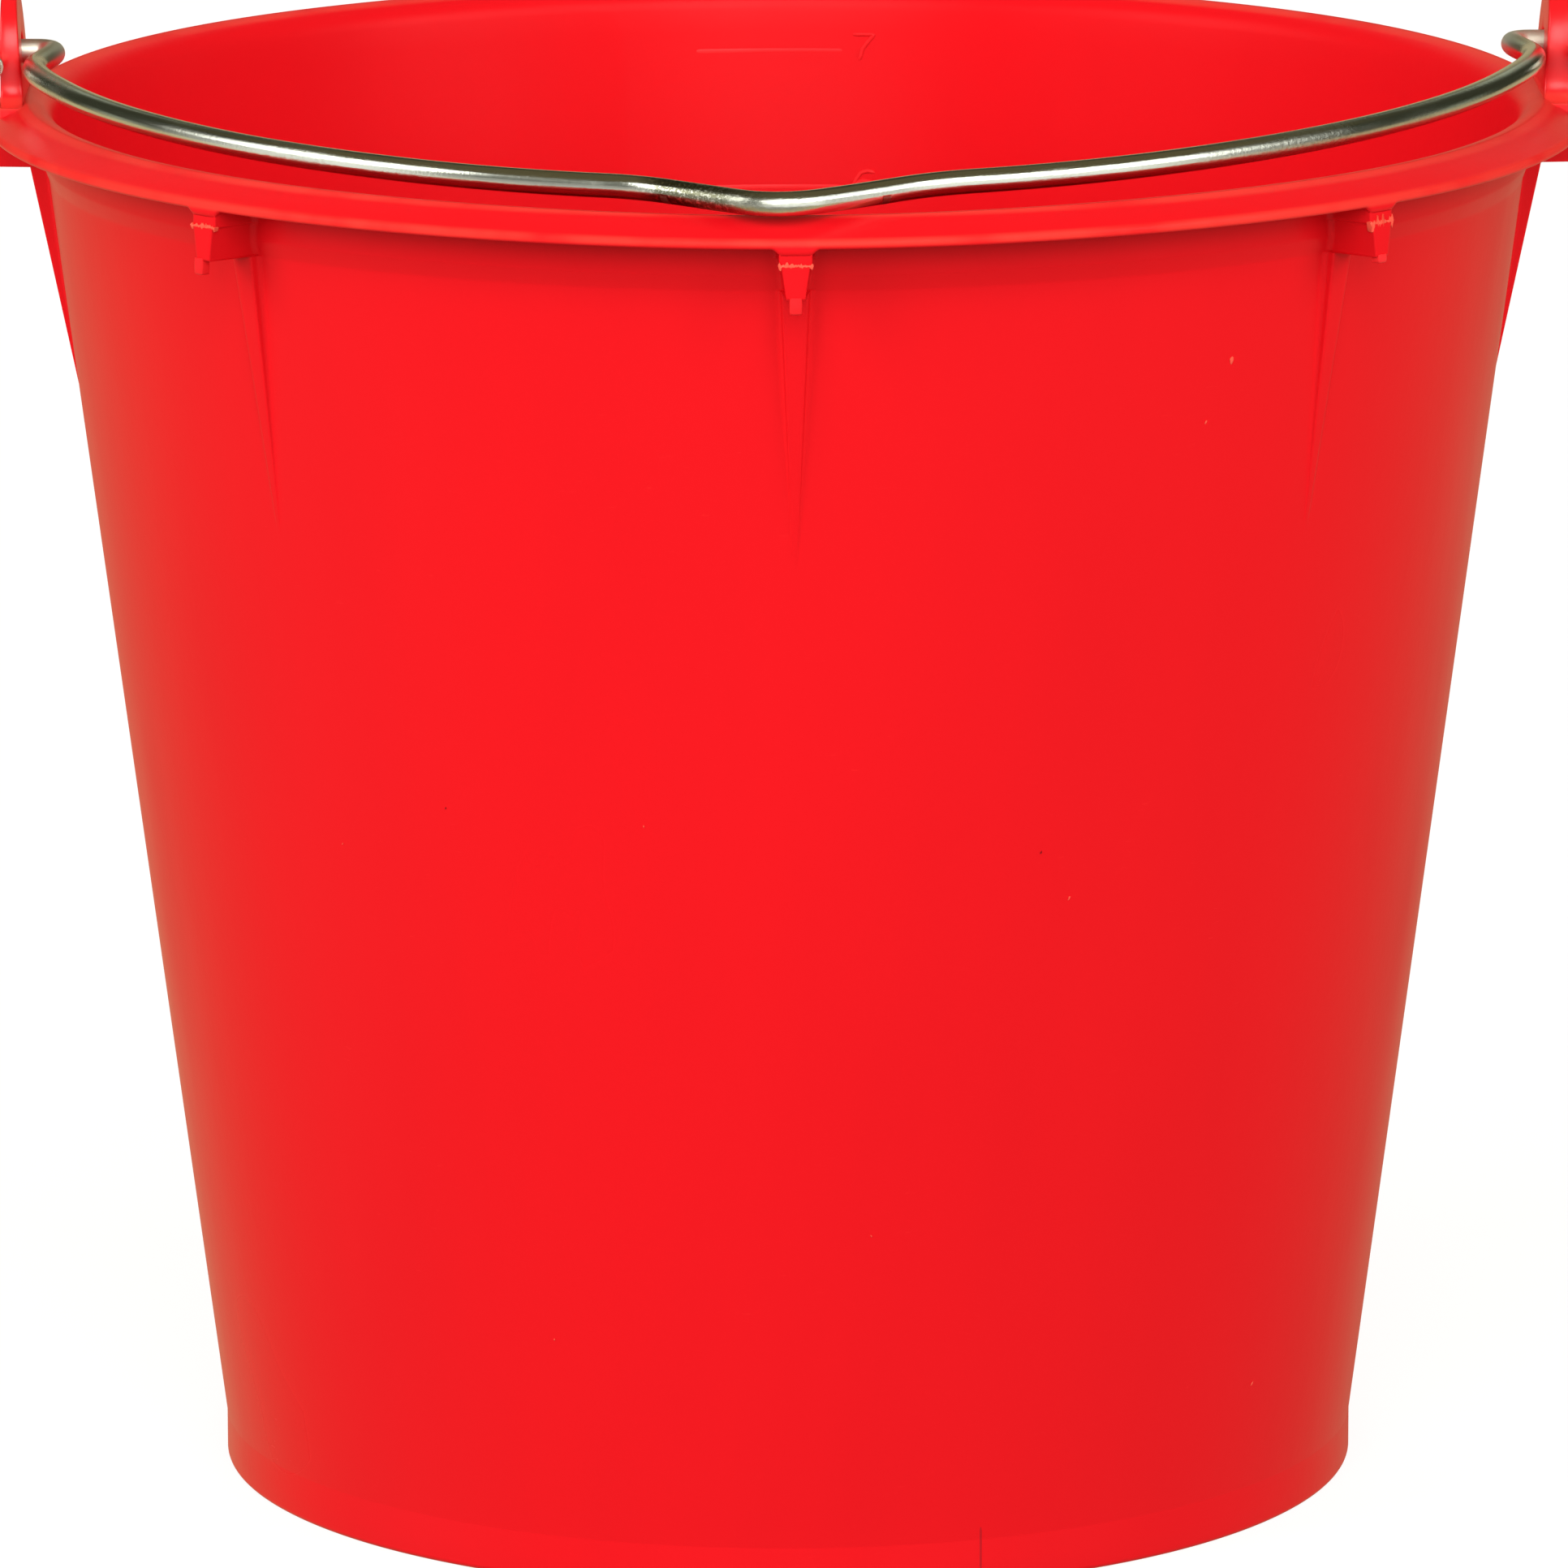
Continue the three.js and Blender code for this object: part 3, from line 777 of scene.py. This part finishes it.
dark_red = red_plastic("dark_polypropylene", DARK_RED, DARK_RED)
one_mesh("pale_specks", [speck(*place) for place in PALE_SPECKS], torn_red)
one_mesh("dark_specks", [speck(*place) for place in DARK_SPECKS], dark_red)
seam_points, seam_normals = [], []
for z in np.linspace(SEAM_TOP_Z, SEAM_FOOT_Z, SEAM_STEPS):
    radius = max(wall_radius(z), FOOT_RADIUS)
    y = -math.sqrt(radius * radius - SEAM_X * SEAM_X)
    seam_points.append((SEAM_X, y, z))
    seam_normals.append((SEAM_X / radius, y / radius, 0))
seam_red = red_plastic("seam_polypropylene", SEAM_RED, SEAM_RED)
one_mesh("foot_seam", [ridge(seam_points, seam_normals, SEAM_WIDTH, SEAM_RELIEF)], seam_red)


# The bail: one length of bright zinc-plated steel wire, bent by hand over a jig. It runs inside the
# crest, has a V-shaped notch that reaches over it, and turns out through the ears into open hooks.

WIRE_RADIUS = 1.9
BOW_RADIUS = 115.7
BOW_SPREAD = 5.8
NOTCH_HALF_WIDTH = 23.0
NOTCH_TIP = 129.0
NOTCH_ROUND = 7.0
BEND_RADIUS = 3.0
ARM_X = 118.2
HOOK_X = 128.9
ARM_REACH = 20.0
HOOK_BEND_REACH = 11.5
HOOK_TIP = (HOOK_X - 1.3, 16.0)
BAIL_DIP = math.radians(2.26)
BOW_STEPS, BEND_STEPS = 150, 12


def bezier(points, steps):
    """Points on the Bezier curve with these handles, from its start to just short of its end."""
    points = [np.array(p, float) for p in points]
    line = []
    for k in range(steps):
        t, level = k / steps, points
        while len(level) > 1:
            level = [a + (b - a) * t for a, b in zip(level, level[1:])]
        line.append(level[0])
    return line


def bow_point(angle):
    """(x, reach) on the bow, which spreads a little from its round towards the ears."""
    spread = math.cos(1.5 * angle) ** 2 if angle < math.pi / 3 else 0
    reach = BOW_RADIUS + BOW_SPREAD * spread
    return np.array([reach * math.cos(angle), reach * math.sin(angle)])


def quarter_bend(centre_x, first_turn):
    """A quarter of a round bend whose middle is at centre_x, from one turn onwards."""
    line = []
    for k in range(BEND_STEPS):
        turn = first_turn + math.pi / 2 * k / BEND_STEPS
        out = np.array([math.cos(turn), math.sin(turn)])
        line.append(np.array([centre_x, BEND_RADIUS]) + BEND_RADIUS * out)
    return line


def half_wire():
    """(x, reach) of the wire's middle line, from the notch's point to the right hook's tip."""
    tip = np.array([0.0, NOTCH_TIP])
    shoulder_angle = math.acos(NOTCH_HALF_WIDTH / BOW_RADIUS)
    shoulder = bow_point(shoulder_angle)
    leg = (shoulder - tip) / np.linalg.norm(shoulder - tip)
    corner = tip + leg * NOTCH_ROUND / 2
    line = bezier([(0, corner[1]), corner, tip + leg * NOTCH_ROUND], 10)
    leg_end = shoulder - leg * NOTCH_ROUND
    line += bezier([tip + leg * NOTCH_ROUND, leg_end], 12)
    bow_start = shoulder_angle - NOTCH_ROUND / BOW_RADIUS
    line += bezier([leg_end, shoulder, bow_point(bow_start)], 14)
    bow_end = math.asin(ARM_REACH / (BOW_RADIUS + BOW_SPREAD))
    for k in range(BOW_STEPS):
        line.append(bow_point(bow_start + (bow_end - bow_start) * k / BOW_STEPS))
    last = bow_point(bow_end)
    toward = last - bow_point(bow_end + 0.01)
    toward *= 6.0 / np.linalg.norm(toward)
    line += bezier([last, last + toward, (ARM_X, BEND_RADIUS + 6), (ARM_X, BEND_RADIUS)], 26)
    line += quarter_bend(ARM_X + BEND_RADIUS, math.pi)
    line += bezier([(ARM_X + BEND_RADIUS, 0), (HOOK_X - BEND_RADIUS, 0)], 8)
    line += quarter_bend(HOOK_X - BEND_RADIUS, 1.5 * math.pi)
    line += bezier([(HOOK_X, BEND_RADIUS), (HOOK_X, HOOK_BEND_REACH)], 12)
    line += bezier([(HOOK_X, HOOK_BEND_REACH), (HOOK_X, 13.75), HOOK_TIP], 10)
    line.append(np.array(HOOK_TIP))
    return line


right_half = half_wire()
plan_x, reach = np.array([np.array([-x, y]) for x, y in right_half[:0:-1]] + right_half).T
route = np.column_stack(
    [plan_x, -reach * math.cos(BAIL_DIP), PIVOT_Z - reach * math.sin(BAIL_DIP)]
)

# Bending by hand leaves the notch off centre, the bow slid to the left, and its right half high.
SLIDE_AT = [-127.5, -124, -118, -100, -26, -4, 26, 100, 118, 124, 127.5]
SLIDE_BY = [0, -0.4, -0.7, -0.5, -0.5, -2.8, -0.5, -0.5, -0.1, -0.3, 0]
LIFT_AT = [-118, -85, -30, -10, 10, 22, 60, 118]
LIFT_BY = [0.05, -0.2, -0.2, -0.2, -0.1, 0.25, 0.7, 1.25]
STUB_LIFT = {-1: -0.2, 1: 0.5}
ARM_REACHES = [-4, 0, 3, 7, 14, 24, 36]
ARM_SPREAD_BY = [-0.3, -0.35, -0.3, 0.1, 0.6, 0.5, 0]
STUB_FADE = 18.0
NEAR_EAR_FROM, NEAR_EAR_FADE, NEAR_EAR_TO = 105.0, 10.0, 122.0
SLIDE_SOFT, SPREAD_SOFT, LIFT_SOFT = 5, 4, 7


def softened(values, reach):
    """The values with their corners smoothed over this many neighbours on either side."""
    window = np.hanning(2 * reach + 1)
    padded = np.pad(values, reach, mode="edge")
    return np.convolve(padded, window / window.sum(), mode="valid")


slide = np.interp(route[:, 0], SLIDE_AT, SLIDE_BY)
lift = np.interp(route[:, 0], LIFT_AT, LIFT_BY)
stub_lift = np.where(route[:, 0] > 0, STUB_LIFT[1], STUB_LIFT[-1])
on_arm = np.clip(1 + route[:, 1] / STUB_FADE, 0, 1)
lift = lift + (stub_lift - lift) * on_arm
aside = np.abs(route[:, 0])
near_ear = np.clip((aside - NEAR_EAR_FROM) / NEAR_EAR_FADE, 0, 1) * (aside < NEAR_EAR_TO)
spread = np.interp(-route[:, 1], ARM_REACHES, ARM_SPREAD_BY) * near_ear * np.sign(route[:, 0])
route[:, 0] += softened(slide, SLIDE_SOFT) + softened(spread, SPREAD_SOFT)
route[:, 2] += softened(lift, LIFT_SOFT)

WIRE_SIDES = 28
CUT_SHARE, CUT_CHAMFER = 0.86, 0.3


def wire_rings(route):
    """Rings of points round the wire, with a small chamfer at each cut end."""
    ahead = np.gradient(route, axis=0)
    ahead /= np.linalg.norm(ahead, axis=1)[:, None]
    up = np.array([0.0, 0.0, 1.0])
    rings = []
    for centre, along in zip(route, ahead):
        up = up - along * (up @ along)
        up /= np.linalg.norm(up)
        side = np.cross(along, up)
        ring = []
        for k in range(WIRE_SIDES):
            angle = 2 * math.pi * k / WIRE_SIDES
            out = math.cos(angle) * up + math.sin(angle) * side
            ring.append(centre + WIRE_RADIUS * out)
        rings.append(ring)
    for at, inward in ((0, ahead[0]), (-1, -ahead[-1])):
        centre = route[at]
        end = [centre + (p - centre) * CUT_SHARE for p in rings[at]]
        rings[at] = [p + inward * CUT_CHAMFER for p in rings[at]]
        if at == 0:
            rings.insert(0, end)
        else:
            rings.append(end)
    return rings


bail = mesh_of("bail_wire", *skin_of_rings(wire_rings(route)))
smooth(bail)
wire_map = bail.data.uv_layers.new(name="along_the_wire")
lengths = np.concatenate([[0], np.cumsum(np.linalg.norm(np.diff(route, axis=0), axis=1))])
lengths = np.concatenate([[lengths[0]], lengths, [lengths[-1]]])
round_wire = 2 * math.pi * WIRE_RADIUS
for polygon in bail.data.polygons:
    columns = [v % WIRE_SIDES for v in polygon.vertices]
    wraps = max(columns) - min(columns) > WIRE_SIDES / 2
    for loop, v in zip(polygon.loop_indices, polygon.vertices):
        row = min(v // WIRE_SIDES, len(lengths) - 1)
        column = v % WIRE_SIDES
        if wraps and column == 0:
            column = WIRE_SIDES
        wire_map.data[loop].uv = (lengths[row] * MM, column / WIRE_SIDES * round_wire * MM)

# Bright zinc: a hard drawn shine with fine lengthwise draw marks and duller, peened patches. The
# notch has a nick on either side, the left leg has a darker stretch, and the bends at the ears are
# rougher and carry a painted paler sheen.
ZINC = (0.66, 0.68, 0.60, 1.0)
ZINC_DULL = (0.50, 0.50, 0.42, 1.0)
NICK_GREY = (0.36, 0.33, 0.25, 1.0)
BEND_PAINTED_SHEEN = (0.78, 0.81, 0.70, 1.0)
LEFT_LEG_DARK = (0.15, 0.15, 0.10, 1.0)
NICKS_AT = (-19.0, 13.1)
NICK_HALF, NICK_REACH = 0.0005, 0.0009
NICK_ROUND = (0.0031, 0.0034, 0.0052, 0.0055)
DARK_LEG_FROM, DARK_LEG_TO = -24.0, -2.0
DARK_LEG_FADE_IN, DARK_LEG_FADE_OUT = 0.005, 0.009
BENT_TO, BENT_FADED = 0.028, 0.042


def along_at(x):
    """How far along the wire its middle line passes this x, in metres."""
    return float(np.interp(x, route[:, 0], lengths[1:-1])) * MM


zinc, shader, start = new_finish("bright_zinc")
along = start.node("UVMap", uv_map="along_the_wire")
draw = along.stretched(60, 1600, 1).noise(1.0, 4.0)
peen = along.stretched(1500, 1500, 1).noise(1.0, 3.0, 0.7)
patch = along.stretched(28, 40, 1).noise(1.0, 2.0).between(0.48, 0.62)
how_far, round_it = (start.node("SeparateXYZ", {"Vector": along}, output=i) for i in (0, 1))
left_nick, right_nick = (
    how_far.band(at - NICK_REACH, at - NICK_HALF, at + NICK_HALF, at + NICK_REACH)
    for at in map(along_at, NICKS_AT)
)
nick = (left_nick + right_nick) * round_it.band(*NICK_ROUND)
wire_end = float(lengths[-1]) * MM
# The bends near the ears: rougher plating from bending, and a paler base colour that is a painted
# reflection.
bend_wear_and_sheen = 1 - how_far.band(BENT_TO, BENT_FADED, wire_end - BENT_FADED, wire_end - BENT_TO)
# A stretch of the left leg is darker here, mottled by the peen marks.
dark_leg_from, dark_leg_to = along_at(DARK_LEG_FROM), along_at(DARK_LEG_TO)
scuff = how_far.band(dark_leg_from, dark_leg_from + DARK_LEG_FADE_IN, dark_leg_to - DARK_LEG_FADE_OUT, dark_leg_to)
worn = (patch * peen.between(0.45, 0.7)).blend(ZINC, ZINC_DULL)
worn = (scuff * (1 - 0.6 * peen.between(0.5, 0.6))).blend(worn, LEFT_LEG_DARK)
worn = bend_wear_and_sheen.blend(worn, BEND_PAINTED_SHEEN)
feed(shader, "Base Color", (0.8 * nick).blend(worn, NICK_GREY))
feed(shader, "Roughness", 0.13 + 0.1 * draw + 0.12 * patch + 0.2 * nick + 0.34 * bend_wear_and_sheen)
relief = 0.4 * draw + (0.35 + patch) * peen - nick
skin = {"Height": relief, "Strength": 0.22, "Distance": 0.0003}
feed(shader, "Normal", start.node("Bump", skin))
shader.inputs["Metallic"].default_value = 1.0
bail.data.materials.append(zinc)
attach(bail, "bail")
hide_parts("bail")


# The studio: a pale floor, wide soft lamps in front, at both sides and over the floor behind, and
# a dim room for the reflections. The room has a wide window with a dim bar in front, a dark
# ceiling, pale rear corners and a warm ground.

FLOOR_REACH = 9.0
floor_mesh = bpy.data.meshes.new("studio_floor")
floor_corners = [(x, y, 0) for x, y in ((-1, -1), (1, -1), (1, 1), (-1, 1))]
floor_mesh.from_pydata([Vector(c) * FLOOR_REACH for c in floor_corners], [], [(0, 1, 2, 3)])
floor = bpy.data.objects.new("studio_floor", floor_mesh)
bpy.context.scene.collection.objects.link(floor)
floor_paint, shader, start = new_finish("pale_floor")
shader.inputs["Base Color"].default_value = (0.15, 0.15, 0.15, 1.0)
shader.inputs["Roughness"].default_value = 0.9
shader.inputs["Specular IOR Level"].default_value = 0.1
shader.inputs["Emission Color"].default_value = (1.0, 0.99, 0.975, 1.0)
shader.inputs["Emission Strength"].default_value = 0.87
floor_mesh.materials.append(floor_paint)
floor.visible_glossy = False
floor.visible_diffuse = False


def soft_lamp(name, place, target, width, height, power):
    """A wide lamp that lights the plastic but isn't mirrored in it."""
    light = bpy.data.lights.new(name, "AREA")
    light.shape = "RECTANGLE"
    light.size, light.size_y = width, height
    light.energy = power
    lamp = bpy.data.objects.new(name, light)
    bpy.context.scene.collection.objects.link(lamp)
    lamp.location = place
    toward = Vector(target) - Vector(place)
    lamp.rotation_euler = toward.to_track_quat("-Z", "Y").to_euler()
    lamp.visible_camera = False
    lamp.visible_glossy = False


soft_lamp("front_lamp", (0, -1.6, 1.05), (0, 0, 0.12), 1.2, 1.2, 29)
soft_lamp("left_lamp", (-1.5, -0.87, 0.9), (0, 0, 0.12), 1.0, 1.1, 29)
soft_lamp("right_lamp", (1.5, -0.87, 0.9), (0, 0, 0.12), 1.0, 1.1, 22)
soft_lamp("floor_lamp", (0, 2.6, 1.7), (0, 1.3, 0), 2.6, 1.4, 30)

FILL_HIGH = (0.30, 0.29, 0.26, 1.0)
FILL_LOW = (0.70, 0.68, 0.64, 1.0)
ROOM_PALE = (0.95, 0.95, 0.93, 1.0)
SIDES_DARK = (0.04, 0.042, 0.026, 1.0)
CEILING = (0.127, 0.106, 0.053, 1.0)
BACK_WALL = (0.50, 0.42, 0.25, 1.0)
REAR_SIDES = (0.50, 0.54, 0.42, 1.0)
GROUND_LEFT = (0.66, 0.56, 0.32, 1.0)
GROUND_RIGHT = (0.55, 0.45, 0.27, 1.0)
GROUND_FRONT = (0.32, 0.31, 0.28, 1.0)
WINDOW_LOW = (1.2, 1.2, 1.15, 1.0)
WINDOW_HIGH = (5.0, 5.0, 4.8, 1.0)

# Where the room's parts begin and end, as the upward share of a direction.
GROUND_EDGE = (-0.22, -0.1)
CEILING_EDGE = (0.66, 0.78)
REAR_BAND = (0.25, 0.4, 0.66, 0.78)
WINDOW_LOW_BAND = (-0.42, -0.34, 0.16, 0.2)
WINDOW_HIGH_BAND = (0.2, 0.28, 0.66, 0.72)

world = bpy.data.worlds.new("dim_room")
world.use_nodes = True
room = world.node_tree.nodes["Background"]
start = Signal(world.node_tree)
way = start.node("TexCoord", output="Generated")
right, back, up = (start.node("SeparateXYZ", {"Vector": way}, output=i) for i in range(3))
ahead = 0 - back
ground = right.between(-0.3, 0.3).blend(GROUND_LEFT, GROUND_RIGHT)
ground = ahead.between(0.5, 0.8).blend(ground, GROUND_FRONT)
behind = back.between(0.88, 0.95) * (1 - up.between(0.3, 0.4))
walls = up.between(*CEILING_EDGE).blend(SIDES_DARK, CEILING)
aside = right * right
rear_high = back.between(0.74, 0.86) * aside.between(0.02, 0.08) * up.band(*REAR_BAND)
rear_low = back.between(0.15, 0.4) * aside.between(0.66, 0.8) * (1 - up.between(0, 0.15))
walls = (rear_high + 0.7 * rear_low).blend(walls, REAR_SIDES)
walls = behind.blend(walls, BACK_WALL)
walls = (1 - up.between(*GROUND_EDGE)).blend(walls, ground)
bar = (0 - right - 0.36 * ahead).between(0, 0.08) * (right + 1.75 * ahead).between(0, 0.08)
facing = (ahead - 0.2 * right).between(-0.05, 0.4)
low_part = facing * up.band(*WINDOW_LOW_BAND) * (1 - 0.65 * bar)
walls = low_part.blend(walls, WINDOW_LOW)
high_part = facing * up.band(*WINDOW_HIGH_BAND) * (1 - 0.97 * bar)
walls = high_part.blend(walls, WINDOW_HIGH)
fill = up.between(-0.15, 0.15).blend(FILL_LOW, FILL_HIGH)
seen = start.node("LightPath", output="Is Glossy Ray").blend(fill, walls)
seen = start.node("LightPath", output="Is Camera Ray").blend(seen, ROOM_PALE)
feed(room, "Color", seen)
bpy.context.scene.world = world
bpy.context.scene.view_settings.view_transform = "Standard"

# The photograph's camera, as fitted to the bucket's outlines.
PHOTO_WIDTH, FOCAL_IN_PIXELS = 1932, 15023.3
SENSOR_WIDTH = 36.0
camera_data = bpy.data.cameras.new("photo_camera")
camera_data.sensor_width = SENSOR_WIDTH
camera_data.lens = SENSOR_WIDTH * FOCAL_IN_PIXELS / PHOTO_WIDTH
camera_data.clip_end = 50.0
camera = bpy.data.objects.new("photo_camera", camera_data)
bpy.context.scene.collection.objects.link(camera)
camera.location = (-0.02223, -1.95973, 0.52709)
camera.rotation_euler = tuple(map(math.radians, (78.0344, 0.0951, -0.6555)))
bpy.context.scene.camera = camera
